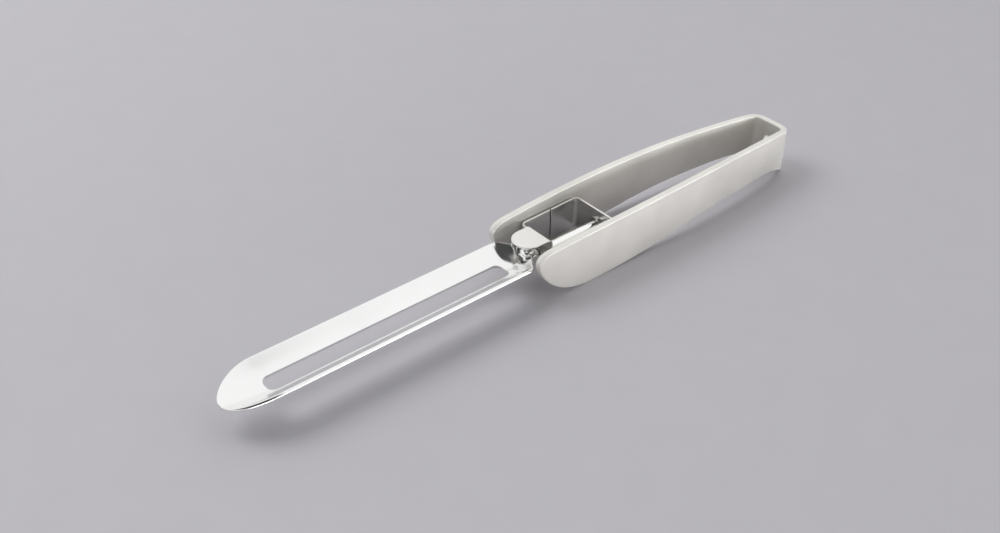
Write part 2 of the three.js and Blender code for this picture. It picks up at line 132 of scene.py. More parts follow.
# Blade
BLADE_SHEET = 1.0
BLADE_HALF_WIDTH = 7.57
BLADE_DEPTH = 3.5
TROUGH_SQUARENESS = 2.0
EDGE_Z = 10.53
RIM_ROUND = 0.25
TIP_X = -95.9
TIP_LENGTH = 12.9
TIP_START_X = TIP_X + TIP_LENGTH
TIP_FULLNESS = 0.56
TIP_CURL = 1.1
TIP_END_SHARE = 0.99
SLOT_FRONT_X = -83.8
SLOT_REAR_X = -11.4
SLOT_HALF_WIDTH = 2.8
SLOT_CORNER_RADIUS = 2.0
SLOT_SHARE_LIMIT = 0.6

# Neck of the blade: a pinch behind the slot, then a flat seat for the tab, then lower walls
NECK_START_X = -9.0
NECK_NARROW_X = -4.8
NECK_DROP_X = -4.45
NECK_LOW_X = -2.6
NECK_END_X = -1.1
NECK_HALF_WIDTH = 3.0
NECK_FLOOR_Z = 6.03
NECK_DEPTH = 2.2
NECK_SQUARENESS = 5.0
PINCH_START_X = -10.2
PINCH_X = -8.0
PINCH_SQUARENESS = 1.1
PINCH_RISE = 0.4
SEAT_START_X = -6.2
SEAT_X = -5.85

# Rivet
RIVET_X = -3.9
RIVET_SHANK_RADIUS = 0.9
RIVET_HEAD_RADIUS = 2.05
RIVET_HEAD_HEIGHT = 1.8
RIVET_TAIL_RADIUS = 1.6
RIVET_TAIL_HEIGHT = 0.8
RIVET_EDGE_ROUND = 0.2
RIVET_WASHER_RADIUS = 1.9
RIVET_WASHER_PLAY = 0.15

# Fineness of the meshes
TURN_STEPS = 64
CURVE_STEPS = 80
SPLINE_STEPS = 24
PROFILE_CORNER_STEPS = 4
PROFILE_SIDE_SHARE = 0.45
STRIP_EDGE_STEPS = 5
NOSE_STEPS = 24
NOSE_FINE_LENGTH = 14.0
ARM_STEPS = 55
REAR_CORNER_STEPS = 14
REAR_WALL_STEPS = 5
BOX_CORNER_STEPS = 12
BOX_WALL_STEP = 0.4
BOX_LONG_GAP = 1.0
TONGUE_RISE_STEPS = 3
TONGUE_BEND_STEPS = 10
TONGUE_FLAT_STEPS = 4
TONGUE_TIP_STEPS = 24
TONGUE_TIP_BLUNT = 0.4
AXLE_EDGE_STEPS = 4
TAB_ROOT_STEPS = 4
CLIP_STEPS = 48
DOME_STEPS = 16
TIP_STEPS = 40
SLOT_CORNER_STEPS = 8
BODY_STEPS = 25
NECK_STEPS = 59
WALL_STEPS = 14
FLOOR_STEPS = 6
RIM_STEPS = 6
CREASE_ANGLE = 38.0
BLADE_CREASE_ANGLE = 50.0
MERGE_DISTANCE = 0.0001

# Surface of the steel
GRAIN_DETAIL = 4.0
GRAIN_ROUGHNESS = 0.6
GRAIN_DEPTH = 0.05
CLOUD_SCALE = 60.0
CLOUD_DETAIL = 2.0
CLOUD_RANGE = (0.3, 0.7)

# Floor of pale paper
FLOOR_HALF_SIZE = 3.0
FLOOR_DROP = 0.05
FLOOR_ROUGHNESS = 0.9
FLOOR_GLOSS = 0.1
FLOOR_TONES = ((0.490, 0.480, 0.510), (0.515, 0.503, 0.533))
MOTTLE_SCALE = 90.0
MOTTLE_DETAIL = 3.0

# Light: limits are heights or cosines at which a change in the sky starts and ends
SKY_STRENGTH = 0.98
HORIZON_SHARE = 0.78
HORIZON_LIMITS = (0.0, 0.5)
LENS_SIDE = (-0.40, -0.46, 0.79)
LENS_LIMITS = (0.70, 0.86)
LENS_SHARE = 0.06
FRONT_CARD = (0.25, -0.96, 0.1)
CARD_LIMITS = (0.45, 0.75)
CARD_TOP_LIMITS = (0.08, 0.22)
CARD_GAIN = 6.5
KEY_PLACE = (-0.35, 0.55, 0.75)
KEY_SIZE = 0.6
KEY_POWER = 3.5

# Camera, fitted to the symmetric frame and box
CAMERA_AT = (-184.69, -205.95, 203.84)
CAMERA_RIGHT = (0.7696, -0.6386, 0.0025)
CAMERA_UP = (0.374, 0.4539, 0.8087)
CAMERA_LENS = 45.93
CAMERA_SENSOR_WIDTH = 36.0
CAMERA_CLIP_START = 10.0

ORIGIN_X = (TIP_START_X - TIP_LENGTH * TIP_END_SHARE + HANDLE_REAR_X) / 2


# Materials


def node_material(name):
    material = bpy.data.materials.new(name)
    material.use_nodes = True
    return material, material.node_tree.nodes, material.node_tree.links


def add_noise(nodes, links, place, scale, detail):
    node = nodes.new("ShaderNodeTexNoise")
    node.inputs["Scale"].default_value = scale
    node.inputs["Detail"].default_value = detail
    links.new(place, node.inputs["Vector"])
    return node


def color_by(nodes, links, value, shader, tones, limits=(0.0, 1.0)):
    """Base colour that goes from one tone to the other while a value runs between limits."""
    node = nodes.new("ShaderNodeValToRGB")
    for element, tone, limit in zip(node.color_ramp.elements, tones, limits):
        element.position = limit
        element.color = (*tone, 1)
    links.new(value, node.inputs["Fac"])
    links.new(node.outputs["Color"], shader.inputs["Base Color"])


def steel(name, color, roughness, spread, grain, bump, tint=0.06):
    """Metal with broad clouds in its tone, and with a grain in its gloss and relief.

    The grain has a scale on each axis, which draws it out.
    """
    material, nodes, links = node_material(name)
    shader = nodes["Principled BSDF"]
    shader.inputs["Metallic"].default_value = 1.0
    place = nodes.new("ShaderNodeTexCoord").outputs["Object"]
    stretch = nodes.new("ShaderNodeMapping")
    stretch.inputs["Scale"].default_value = grain
    links.new(place, stretch.inputs["Vector"])
    fine = add_noise(nodes, links, stretch.outputs["Vector"], 1.0, GRAIN_DETAIL)
    fine.inputs["Roughness"].default_value = GRAIN_ROUGHNESS
    broad = add_noise(nodes, links, place, CLOUD_SCALE, CLOUD_DETAIL)
    gloss = nodes.new("ShaderNodeMapRange")
    gloss.inputs["To Min"].default_value = roughness - spread
    gloss.inputs["To Max"].default_value = roughness + spread
    links.new(fine.outputs["Fac"], gloss.inputs["Value"])
    links.new(gloss.outputs["Result"], shader.inputs["Roughness"])
    darker = [c * (1 - tint) for c in color]
    paler = [min(1.0, c * (1 + tint)) for c in color]
    color_by(nodes, links, broad.outputs["Fac"], shader, (darker, paler), CLOUD_RANGE)
    relief = nodes.new("ShaderNodeBump")
    relief.inputs["Strength"].default_value = bump
    relief.inputs["Distance"].default_value = GRAIN_DEPTH * MM
    links.new(fine.outputs["Fac"], relief.inputs["Height"])
    links.new(relief.outputs["Normal"], shader.inputs["Normal"])
    return material


satin_steel = steel(
    "satin_steel", color=(0.86, 0.845, 0.805), roughness=0.55, spread=0.05,
    grain=(2500, 9000, 9000), bump=0.25,
)
box_steel = steel(
    "box_steel", color=(0.80, 0.79, 0.765), roughness=0.22, spread=0.04,
    grain=(4000, 4000, 9000), bump=0.2,
)
blade_steel = steel(
    "blade_steel", color=(0.93, 0.93, 0.925), roughness=0.17, spread=0.03,
    grain=(300, 6000, 6000), bump=0.12, tint=0.02,
)
polished_steel = steel(
    "polished_steel", color=(0.95, 0.95, 0.94), roughness=0.07, spread=0.02,
    grain=(3000, 9000, 9000), bump=0.05, tint=0.02,
)
bearing_steel = steel(
    "bearing_steel", color=(0.60, 0.59, 0.575), roughness=0.24, spread=0.05,
    grain=(6000, 6000, 6000), bump=0.15,
)


# Making of pieces


def scene_place(x, y, z):
    """Place in the scene, in metres from the shared origin, of a point in the part's millimetres."""
    return (x - ORIGIN_X) * MM, y * MM, z * MM


def add_piece(name, verts, faces, body, nodes, material, crease=CREASE_ANGLE):
    """Closed mesh as a piece that rides on a body and stands for CAD nodes."""
    mesh = bpy.data.meshes.new(name)
    mesh.from_pydata([scene_place(*vert) for vert in verts], [], faces)
    tidy = bmesh.new()
    tidy.from_mesh(mesh)
    bmesh.ops.remove_doubles(tidy, verts=tidy.verts, dist=MERGE_DISTANCE * MM)
    bmesh.ops.recalc_face_normals(tidy, faces=tidy.faces)
    tidy.to_mesh(mesh)
    tidy.free()
    mesh.materials.append(material)
    mesh.shade_smooth()
    mesh.set_sharp_from_angle(angle=math.radians(crease))
    piece = bpy.data.objects.new(name, mesh)
    scene.collection.objects.link(piece)
    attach(piece, body)
    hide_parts(*nodes)
    return piece


def drill(piece, x, z, radius, depth):
    """Round hole along X through a wall of a piece."""
    body = bmesh.new()
    place = Matrix.Translation(scene_place(x, 0, z)) @ Matrix.Rotation(math.pi / 2, 4, "Y")
    bmesh.ops.create_cone(body, cap_ends=True, segments=TURN_STEPS, radius1=radius * MM, radius2=radius * MM,
                          depth=depth * MM, matrix=place)
    mesh = bpy.data.meshes.new("drill")
    body.to_mesh(mesh)
    body.free()
    cutter = bpy.data.objects.new("drill", mesh)
    scene.collection.objects.link(cutter)
    cut = piece.modifiers.new("hole", "BOOLEAN")
    cut.operation = "DIFFERENCE"
    cut.solver = "EXACT"
    cut.object = cutter
    depsgraph = bpy.context.evaluated_depsgraph_get()
    piece.data = bpy.data.meshes.new_from_object(piece.evaluated_get(depsgraph))
    piece.modifiers.clear()
    piece.data.set_sharp_from_angle(angle=math.radians(CREASE_ANGLE))
    bpy.data.objects.remove(cutter)


def unit(vectors):
    return vectors / np.linalg.norm(vectors, axis=1, keepdims=True)


def blend(start, end, share):
    return start + (end - start) * share


def ramp(x, start, end):
    """Smooth rise from 0 to 1 between two places."""
    share = np.clip((x - start) / (end - start), 0, 1)
    return share * share * (3 - 2 * share)


def quarter_turns(steps):
    """Angles from 0 to a right angle, both ends among them."""
    return [0.5 * math.pi * step / steps for step in range(steps + 1)]


def inset(loop, distance):
    """Clockwise outline moved inwards, mitred at its corners."""
    to_here = unit(loop - np.roll(loop, 1, axis=0))
    from_here = unit(np.roll(loop, -1, axis=0) - loop)
    first = np.stack([to_here[:, 1], -to_here[:, 0]], axis=1)
    second = np.stack([from_here[:, 1], -from_here[:, 0]], axis=1)
    mitre = (first + second) / (1 + np.sum(first * second, axis=1, keepdims=True))
    return loop + distance * mitre


def edge_rings(thickness, radius):
    """Inset and depth of each ring from the outer face over the rounded edge to the inner face."""
    turns = quarter_turns(STRIP_EDGE_STEPS)
    outer = [(radius * (1 - math.sin(turn)), radius * (1 - math.cos(turn))) for turn in turns]
    inner = [(shrink, thickness - depth) for shrink, depth in reversed(outer)]
    return outer + inner


def ring_faces(rings, around):
    """Faces between neighbouring rings of equal count."""
    faces = []
    for ring in range(rings - 1):
        for k in range(around):
            a = ring * around + k
            b = ring * around + (k + 1) % around
            faces.append((a, b, b + around, a + around))
    return faces


def bent_strip(path, low, high, thickness, edge_round):
    """Strip with rounded edges, bent along a path with its inside on the left.

    The path lies in a plane, and low and high bound the strip across that plane.
    """
    count = len(path)
    lengths = np.linalg.norm(np.diff(path, axis=0), axis=1)
    along = np.concatenate([[0.0], np.cumsum(lengths)])
    heading = unit(np.gradient(path, along, axis=0))
    inward = np.stack([-heading[:, 1], heading[:, 0]], axis=1)
    loop = np.concatenate([
        np.stack([along, high], axis=1),
        np.stack([along, low], axis=1)[::-1],
    ])
    verts = []
    rings = edge_rings(thickness, edge_round)
    for shrink, depth in rings:
        moved = inset(loop, shrink)
        across = [np.interp(moved[:, 0], along, inward[:, axis]) for axis in (0, 1)]
        base = [np.interp(moved[:, 0], along, path[:, axis]) for axis in (0, 1)]
        verts.extend(zip(base[0] + depth * across[0], base[1] + depth * across[1], moved[:, 1]))
    around = 2 * count
    faces = ring_faces(len(rings), around)
    last = (len(rings) - 1) * around
    for k in range(count - 1):
        opposite = around - 1 - k
        faces.append((k, k + 1, opposite - 1, opposite))
        faces.append((last + k, last + opposite, last + opposite - 1, last + k + 1))
    return verts, faces


def loft(rings):
    """Closed body over rings of equal count, with its ends capped."""
    count = len(rings[0])
    verts = [point for ring in rings for point in ring]
    faces = ring_faces(len(rings), count)
    faces.append(tuple(range(count)))
    faces.append(tuple(range(len(verts) - count, len(verts)))[::-1])
    return verts, faces


def turned(profile):
    """Closed body turned from a profile of (radius, height) that starts and ends on the axis or closes."""
    verts = []
    faces = []
    count = len(profile)
    for step in range(TURN_STEPS):
        turn = 2 * math.pi * step / TURN_STEPS
        verts.extend((r * math.cos(turn), r * math.sin(turn), h) for r, h in profile)
    closed = profile[0][0] > 0
    for step in range(TURN_STEPS):
        here = step * count
        there = (step + 1) % TURN_STEPS * count
        for k in range(count if closed else count - 1):
            after = (k + 1) % count
            faces.append((here + k, there + k, there + after, here + after))
    return verts, faces


def rounded_profile(corners, radius):
    """Profile corners, those off the axis rounded by a radius or by nearly half of a short side."""
    rounded = []
    count = len(corners)
    for index, corner in enumerate(corners):
        if corner[0] <= 0:
            rounded.append(corner)
            continue
        here = Vector(corner)
        sides = [Vector(corners[(index + step) % count]) - here for step in (-1, 1)]
        reach = [min(radius, PROFILE_SIDE_SHARE * side.length) for side in sides]
        start, end = (here + side.normalized() * length for side, length in zip(sides, reach))
        for step in range(PROFILE_CORNER_STEPS + 1):
            share = step / PROFILE_CORNER_STEPS
            point = start * (1 - share) ** 2 + here * 2 * share * (1 - share) + end * share ** 2
            rounded.append((point.x, point.y))
    return rounded


def ring_profile(inner, outer, start, end, radius):
    return rounded_profile([(inner, start), (outer, start), (outer, end), (inner, end)], radius)


def lengthwise(verts):
    """Turned body laid along the swivel axis, with its heights as X."""
    return [(z, x, y + AXIS_Z) for x, y, z in verts]


def at_rivet(verts):
    """Turned body stood upright in the place of the rivet."""
    return [(x + RIVET_X, y, z) for x, y, z in verts]


# Handle frame


def bezier(points):
    share = np.linspace(0, 1, CURVE_STEPS + 1)[:, None]
    a, b, c, d = (np.array(point, float) for point in points)
    back = 1 - share
    return back ** 3 * a + 3 * back ** 2 * share * b + 3 * back * share ** 2 * c + share ** 3 * d


def spline(points):
    """Smooth curve through points, with the tangent at each from its neighbours."""
    points = np.array(points, float)
    tangents = np.empty_like(points)
    tangents[1:-1] = (points[2:] - points[:-2]) / 2
    tangents[0] = (points[1] - points[0]) / 2
    tangents[-1] = (points[-1] - points[-2]) / 2
    share = np.linspace(0, 1, SPLINE_STEPS, endpoint=False)[:, None]
    pieces = []
    for start, end, leave, arrive in zip(points, points[1:], tangents, tangents[1:]):
        pieces.append(
            (2 * share ** 3 - 3 * share ** 2 + 1) * start
            + (share ** 3 - 2 * share ** 2 + share) * leave
            + (3 * share ** 2 - 2 * share ** 3) * end
            + (share ** 3 - share ** 2) * arrive
        )
    return np.concatenate([*pieces, points[-1:]])


def arch_z(x):
    radius = np.where(x < CROWN_X, FRONT_ARCH_RADIUS, REAR_ARCH_RADIUS)
    return CROWN_Z - (x - CROWN_X) ** 2 / (2 * radius)


def outer_half_width(x):
    forward = np.clip((BELLY_X - x) / (BELLY_X - HANDLE_FRONT_X), 0, None)
    behind = np.clip((x - BELLY_X) / (HANDLE_REAR_X - BELLY_X), 0, None)
    front = (BELLY_HALF_WIDTH - FRONT_HALF_WIDTH) * forward ** 2
    rear = (BELLY_HALF_WIDTH - REAR_HALF_WIDTH) * behind ** TAPER_POWER
    return BELLY_HALF_WIDTH - front - rear


def inner_half_width(x):
    step = 0.01
    slope = (outer_half_width(x + step) - outer_half_width(x - step)) / (2 * step)
    return outer_half_width(x) - ARM_THICKNESS * np.hypot(1, slope)


def frame_path():
    """Plan of the outer face from the near nose round the rear wall to the far nose."""
    nose = HANDLE_FRONT_X + NOSE_FINE_LENGTH * (np.arange(1, NOSE_STEPS + 1) / NOSE_STEPS) ** 2
    arm = np.linspace(nose[-1], HANDLE_REAR_X - REAR_CORNER_RADIUS, ARM_STEPS + 1)[1:]
    x = np.concatenate([nose, arm])
    side = np.stack([x, -outer_half_width(x)], axis=1)
    wall_half = REAR_HALF_WIDTH - REAR_CORNER_RADIUS
    start = side[-1]
    pull = np.array([HANDLE_REAR_X, -REAR_HALF_WIDTH])
    end = np.array([HANDLE_REAR_X, -wall_half])
    share = np.linspace(0, 1, REAR_CORNER_STEPS + 1)[1:, None]
    corner = (1 - share) ** 2 * start + 2 * share * (1 - share) * pull + share ** 2 * end
    wall_y = np.linspace(-wall_half, wall_half, REAR_WALL_STEPS + 1)[1:-1]
    wall = np.stack([np.full(len(wall_y), HANDLE_REAR_X), wall_y], axis=1)
    half = np.concatenate([side, corner])
    other = half[::-1] * np.array([1, -1])
    return np.concatenate([half, wall, other])


def frame_heights(x):
    """Lower and upper edge of the strip at places along the handle."""
    nose_top_x = HANDLE_FRONT_X + NOSE_ROUND_LENGTH
    nose_top_z = arch_z(nose_top_x)
    nose = bezier([
        (HANDLE_FRONT_X, NOSE_Z),
        (HANDLE_FRONT_X, blend(NOSE_Z, nose_top_z, NOSE_FULLNESS)),
        (nose_top_x - NOSE_ROUND_LENGTH / 2, nose_top_z),
        (nose_top_x, nose_top_z),
    ])
    lobe = bezier([
        (HANDLE_FRONT_X, NOSE_Z),
        (HANDLE_FRONT_X, NOSE_Z - LOBE_DROP_HANDLE),
        (SOLE_FRONT_X - LOBE_SOLE_HANDLE, 0),
        (SOLE_FRONT_X, 0),
    ])
    flare = [(HANDLE_REAR_X + x, z) for x, z in FLARE_POINTS]
    waist = spline([(SOLE_REAR_X, 0.0), *WAIST_POINTS, *flare])
    below = np.concatenate([lobe, waist])
    high = np.where(x < nose_top_x, np.interp(x, nose[:, 0], nose[:, 1]), arch_z(x))
    low = np.maximum(np.interp(x, below[:, 0], below[:, 1]), 0)
    return low, high


def make_handle():
    path = frame_path()
    low, high = frame_heights(path[:, 0])
    verts, faces = bent_strip(path, low, high, ARM_THICKNESS, ARM_EDGE_ROUND)
    piece = add_piece("strip_handle", verts, faces, "handle", ["handle_frame"], satin_steel)
    drill(piece, HANDLE_REAR_X - ARM_THICKNESS / 2, HANG_HOLE_Z, HANG_HOLE_RADIUS, 2 * ARM_THICKNESS)


# Sheet box


def box_path():
    """Plan of the box's outer face from one edge of the seam round to the other."""
    radius = BOX_CORNER_RADIUS
    ends = (BOX_FRONT_X, BOX_REAR_X)
    halves = [inner_half_width(x) - BOX_GAP for x in ends]
    front_x = BOX_FRONT_X + radius
    rear_x = BOX_REAR_X - radius
    corners = [
        (front_x, halves[0] - radius),
        (front_x, radius - halves[0]),
        (rear_x, radius - halves[1]),
        (rear_x, halves[1] - radius),
    ]
    seam_half = np.interp(SEAM_X, ends, halves)
    points = [(SEAM_X - SEAM_WIDTH / 2, seam_half)]
    for quarter, (x, y) in enumerate(corners, start=1):
        for turn in quarter_turns(BOX_CORNER_STEPS):
            heading = 0.5 * math.pi * quarter + turn
            points.append((x + radius * math.cos(heading), y + radius * math.sin(heading)))
    points.append((SEAM_X + SEAM_WIDTH / 2, seam_half))
    dense = [points[0]]
    for start, end in zip(points, points[1:]):
        gap = math.dist(start, end)
        steps = round(gap / BOX_WALL_STEP) if gap > BOX_LONG_GAP else 1
        dense.extend(np.linspace(start, end, steps + 1)[1:])
    return np.array(dense)


def make_box():
    path = box_path()
    on_front = path[:, 0] < BOX_FRONT_X + BOX_SHEET
    in_relief = np.abs(path[:, 1]) < TONGUE_HALF_WIDTH + RELIEF_WIDTH
    high = np.where(on_front & in_relief, BOX_RIM_Z - RELIEF_DEPTH, BOX_RIM_Z)
    low = np.full(len(path), BOX_FLOOR_Z)
    verts, faces = bent_strip(path, low, high, BOX_SHEET, BOX_EDGE_ROUND)
    add_piece("sheet_box", verts, faces, "handle", ["swivel_box"], box_steel)


def make_tongue():
    """Tongue that rises in the relief of the front wall and bends forward to a round end."""
    radius = TONGUE_BEND_RADIUS
    inner_x = BOX_FRONT_X + BOX_SHEET - TONGUE_SKIN
    top_z = TONGUE_TOP_Z - TONGUE_SKIN
    root_z = BOX_RIM_Z - RELIEF_DEPTH - BOX_SHEET
    round_x = TONGUE_FRONT_X + TONGUE_HALF_WIDTH
    path = [(inner_x, z) for z in np.linspace(root_z, top_z - radius, TONGUE_RISE_STEPS + 1)]
    for turn in quarter_turns(TONGUE_BEND_STEPS)[1:]:
        path.append((inner_x - radius * (1 - math.cos(turn)), top_z - radius * (1 - math.sin(turn))))
    path += [(x, top_z) for x in np.linspace(inner_x - radius, round_x, TONGUE_FLAT_STEPS + 1)[1:]]
    for step in range(1, TONGUE_TIP_STEPS + 1):
        turn = 0.5 * math.pi * step / (TONGUE_TIP_STEPS + TONGUE_TIP_BLUNT)
        path.append((round_x - TONGUE_HALF_WIDTH * math.sin(turn), top_z))
    path = np.array(path)
    forward = np.clip(round_x - path[:, 0], 0, TONGUE_HALF_WIDTH)
    half = np.sqrt(TONGUE_HALF_WIDTH ** 2 - forward ** 2)
    verts, faces = bent_strip(path, -half, half, BOX_SHEET - 2 * TONGUE_SKIN, BOX_EDGE_ROUND)
    verts = [(x, y, z) for x, z, y in verts]
    add_piece("stop_tongue", verts, faces, "handle", ["swivel_box"], box_steel)


# Axle, bearings and fasteners


def superellipse(half_width, half_height, squareness):
    """Points round an oval, which a higher squareness makes more of a rectangle."""
    section = []
    power = 2 / squareness
    for step in range(TURN_STEPS):
        turn = 2 * math.pi * step / TURN_STEPS
        c = math.cos(turn)
        s = math.sin(turn)
        y = half_width * math.copysign(abs(c) ** power, c)
        z = half_height * math.copysign(abs(s) ** power, s)
        section.append((y, z))
    return section


def make_axle():
    """Rod with a flat tab in front and a groove for the clip, lofted over ovals."""
    tab_half = TAB_THICKNESS / 2
    tab_z = TAB_TOP_Z - tab_half
    edge = AXLE_EDGE_ROUND
    rings = []

    def add_ring(x, middle, half_width, half_height, squareness):
        rings.append([(x, y, middle + z) for y, z in superellipse(half_width, half_height, squareness)])

    for turn in quarter_turns(AXLE_EDGE_STEPS):
        shrink = edge * (1 - math.sin(turn))
        x = TAB_FRONT_X + edge * (1 - math.cos(turn))
        add_ring(x, tab_z, TAB_HALF_WIDTH - shrink, tab_half - shrink, TAB_SQUARENESS)
    for step in range(TAB_ROOT_STEPS + 1):
        share = step / TAB_ROOT_STEPS
        ease = ramp(share, 0, 1)
        add_ring(
            TAB_REAR_X - TAB_ROOT_LENGTH * (1 - share),
            blend(tab_z, AXIS_Z, ease),
            blend(TAB_HALF_WIDTH, AXLE_RADIUS, ease),
            blend(tab_half, AXLE_RADIUS, ease),
            blend(TAB_SQUARENESS, ROUND_SQUARENESS, ease),
        )
    groove_start = CLIP_X - GROOVE_MARGIN
    groove_end = CLIP_X + CLIP_THICKNESS + GROOVE_MARGIN
    rod = [
        (groove_start - GROOVE_SLOPE, AXLE_RADIUS),
        (groove_start, GROOVE_RADIUS),
        (groove_end, GROOVE_RADIUS),
        (groove_end + GROOVE_SLOPE, AXLE_RADIUS),
    ]
    for turn in quarter_turns(AXLE_EDGE_STEPS):
        rod.append((AXLE_REAR_X - edge * (1 - math.sin(turn)), AXLE_RADIUS - edge * (1 - math.cos(turn))))
    for x, radius in rod:
        add_ring(x, AXIS_Z, radius, radius, ROUND_SQUARENESS)
    verts, faces = loft(rings)
    add_piece("round_axle", verts, faces, "swivel", ["axle"], polished_steel)


def make_bush(name, node, flange_start, flange_end, sleeve_end):
    """Turned bearing whose sleeve runs from its flange through the wall."""
    outline = [
        (BORE_RADIUS, sleeve_end),
        (BUSH_RADIUS, sleeve_end),
        (BUSH_RADIUS, flange_start),
        (BUSH_FLANGE_RADIUS, flange_start),
        (BUSH_FLANGE_RADIUS, flange_end),
        (BORE_RADIUS, flange_end),
    ]
    verts, faces = turned(rounded_profile(outline, BUSH_EDGE_ROUND))
    add_piece(name, lengthwise(verts), faces, "handle", [node], bearing_steel)


def make_bushes():
    front_end_x = BOX_FRONT_X + BOX_SHEET + BUSH_STAND_OUT
    make_bush("front_bearing", "front_bush", BOX_FRONT_X, BOX_FRONT_X - BUSH_FLANGE, front_end_x)
    rear_wall_x = BOX_REAR_X - BOX_SHEET
    rear_end_x = BOX_REAR_X + BUSH_STAND_OUT
    make_bush("rear_bearing", "rear_bush", rear_wall_x, rear_wall_x - BUSH_FLANGE, rear_end_x)


def make_washer(name, node, start):
    end = start + WASHER_THICKNESS
    verts, faces = turned(ring_profile(BORE_RADIUS, WASHER_RADIUS, start, end, WASHER_EDGE_ROUND))
    add_piece(name, lengthwise(verts), faces, "swivel", [node], bearing_steel)


def make_clip():
    """Open ring of flat wire with its mouth downwards."""
    gap = math.asin(CLIP_MOUTH / 2 / CLIP_INNER_RADIUS)
    end = CLIP_X + CLIP_THICKNESS
    section = ring_profile(CLIP_INNER_RADIUS, CLIP_RADIUS, CLIP_X, end, CLIP_EDGE_ROUND)
    rings = []
    for turn in np.linspace(gap, 2 * math.pi - gap, CLIP_STEPS + 1):
        rings.append([(x, r * math.sin(turn), AXIS_Z - r * math.cos(turn)) for r, x in section])
    verts, faces = loft(rings)
    add_piece("open_clip", verts, faces, "swivel", ["axle_clip"], bearing_steel)


def make_rivet():
    """Rivet turned from its tail to the top of its dome, which ends on the axis."""
    tail_top = NECK_FLOOR_Z - WASHER_THICKNESS
    tail_z = tail_top - RIVET_TAIL_HEIGHT
    profile = rounded_profile([
        (0, tail_z),
        (RIVET_TAIL_RADIUS, tail_z),
        (RIVET_TAIL_RADIUS, tail_top),
        (RIVET_SHANK_RADIUS, tail_top),
        (RIVET_SHANK_RADIUS, TAB_TOP_Z),
    ], RIVET_EDGE_ROUND)
    for turn in quarter_turns(DOME_STEPS)[:-1]:
        profile.append((RIVET_HEAD_RADIUS * math.cos(turn), TAB_TOP_Z + RIVET_HEAD_HEIGHT * math.sin(turn)))
    profile.append((0, TAB_TOP_Z + RIVET_HEAD_HEIGHT))
    verts, faces = turned(profile)
    verts = at_rivet(verts)
    add_piece("domed_rivet", verts, faces, "swivel", ["blade_rivet"], polished_steel)


def make_rivet_washer():
    hole = RIVET_SHANK_RADIUS + RIVET_WASHER_PLAY
    bottom = NECK_FLOOR_Z - WASHER_THICKNESS
    verts, faces = turned(ring_profile(hole, RIVET_WASHER_RADIUS, bottom, NECK_FLOOR_Z, WASHER_EDGE_ROUND))
    verts = at_rivet(verts)
    add_piece("tail_washer", verts, faces, "swivel", ["rivet_washer"], bearing_steel)


# Blade


def blade_section(x):
    """Inner half width, depth, floor height and squareness of the channel at a place along it."""
    tip = min(1.0, max(0.0, (TIP_START_X - x) / TIP_LENGTH))
    plan = (1 - tip ** 2) ** TIP_FULLNESS
    neck = ramp(x, NECK_START_X, NECK_NARROW_X)
    drop = ramp(x, NECK_DROP_X, NECK_LOW_X)
    pinch = ramp(x, PINCH_START_X, PINCH_X)
    seat = ramp(x, SEAT_START_X, SEAT_X)
    rise = PINCH_RISE * ramp(x, PINCH_START_X, SEAT_START_X) * (1 - seat)
    floor_z = EDGE_Z - BLADE_DEPTH + TIP_CURL * tip ** 2 + rise
    half = blend(BLADE_HALF_WIDTH, NECK_HALF_WIDTH, neck) * plan
    depth = (blend(BLADE_DEPTH, NECK_DEPTH, drop) - rise) * plan ** 2
    pinched = blend(TROUGH_SQUARENESS, PINCH_SQUARENESS, pinch)
    squareness = pinched + (NECK_SQUARENESS - PINCH_SQUARENESS) * seat
    return half, depth, floor_z, squareness


def slot_half_width(x):
    """Half width of the slot, with its end's flat half width kept beyond its ends."""
    flat = SLOT_HALF_WIDTH - SLOT_CORNER_RADIUS
    inside = min(x - SLOT_FRONT_X, SLOT_REAR_X - x)
    if inside <= 0:
        return flat
    back = max(0.0, SLOT_CORNER_RADIUS - inside)
    return flat + math.sqrt(SLOT_CORNER_RADIUS ** 2 - back ** 2)


def blade_stations():
    """Places of the sections along the blade, closer at the tip, at the slot's corners and in the neck."""
    reach = SLOT_FRONT_X - (TIP_START_X - TIP_LENGTH * TIP_END_SHARE)
    tip = [SLOT_FRONT_X - reach * (1 - (step / TIP_STEPS) ** 2) for step in range(TIP_STEPS)]
    corner = [SLOT_CORNER_RADIUS * (1 - math.cos(turn)) for turn in quarter_turns(SLOT_CORNER_STEPS)]
    front = [SLOT_FRONT_X + step for step in corner]
    rear = [SLOT_REAR_X - step for step in reversed(corner)]
    body = np.linspace(front[-1], rear[0], BODY_STEPS + 1)[1:-1]
    neck = np.linspace(SLOT_REAR_X, NECK_LOW_X, NECK_STEPS + 1)[1:]
    return [*tip, *front, *body, *rear, *neck, NECK_END_X]


def blade_line(x, sheet):
    """Points across the channel, a sheet thickness outwards, with lines that follow the slot's edges."""
    half, depth, floor_z, power = blade_section(x)
    edge = min(slot_half_width(x), SLOT_SHARE_LIMIT * half) / half
    wall = [1 - (1 - edge) * (1 - math.cos(turn)) for turn in quarter_turns(WALL_STEPS)]
    floor = [edge * (1 - 2 * step / FLOOR_STEPS) for step in range(1, FLOOR_STEPS)]
    line = []
    for share in wall + floor + [-share for share in reversed(wall)]:
        slope = math.copysign(depth * power * abs(share) ** (power - 1) / half, share)
        reach = sheet / math.hypot(1, slope)
        line.append((x, half * share + reach * slope, floor_z + depth * abs(share) ** power - reach))
    return line


def rim_round(inner, outer, beside):
    """Points of a round from the sheet's inner to its outer edge, bulging away from the wall."""
    inner = Vector(inner)
    middle = (inner + Vector(outer)) / 2
    away = (inner - Vector(beside)).normalized() * RIM_ROUND
    turns = [math.pi * step / RIM_STEPS for step in range(1, RIM_STEPS)]
    return [tuple(middle + (inner - middle) * math.cos(turn) + away * math.sin(turn)) for turn in turns]


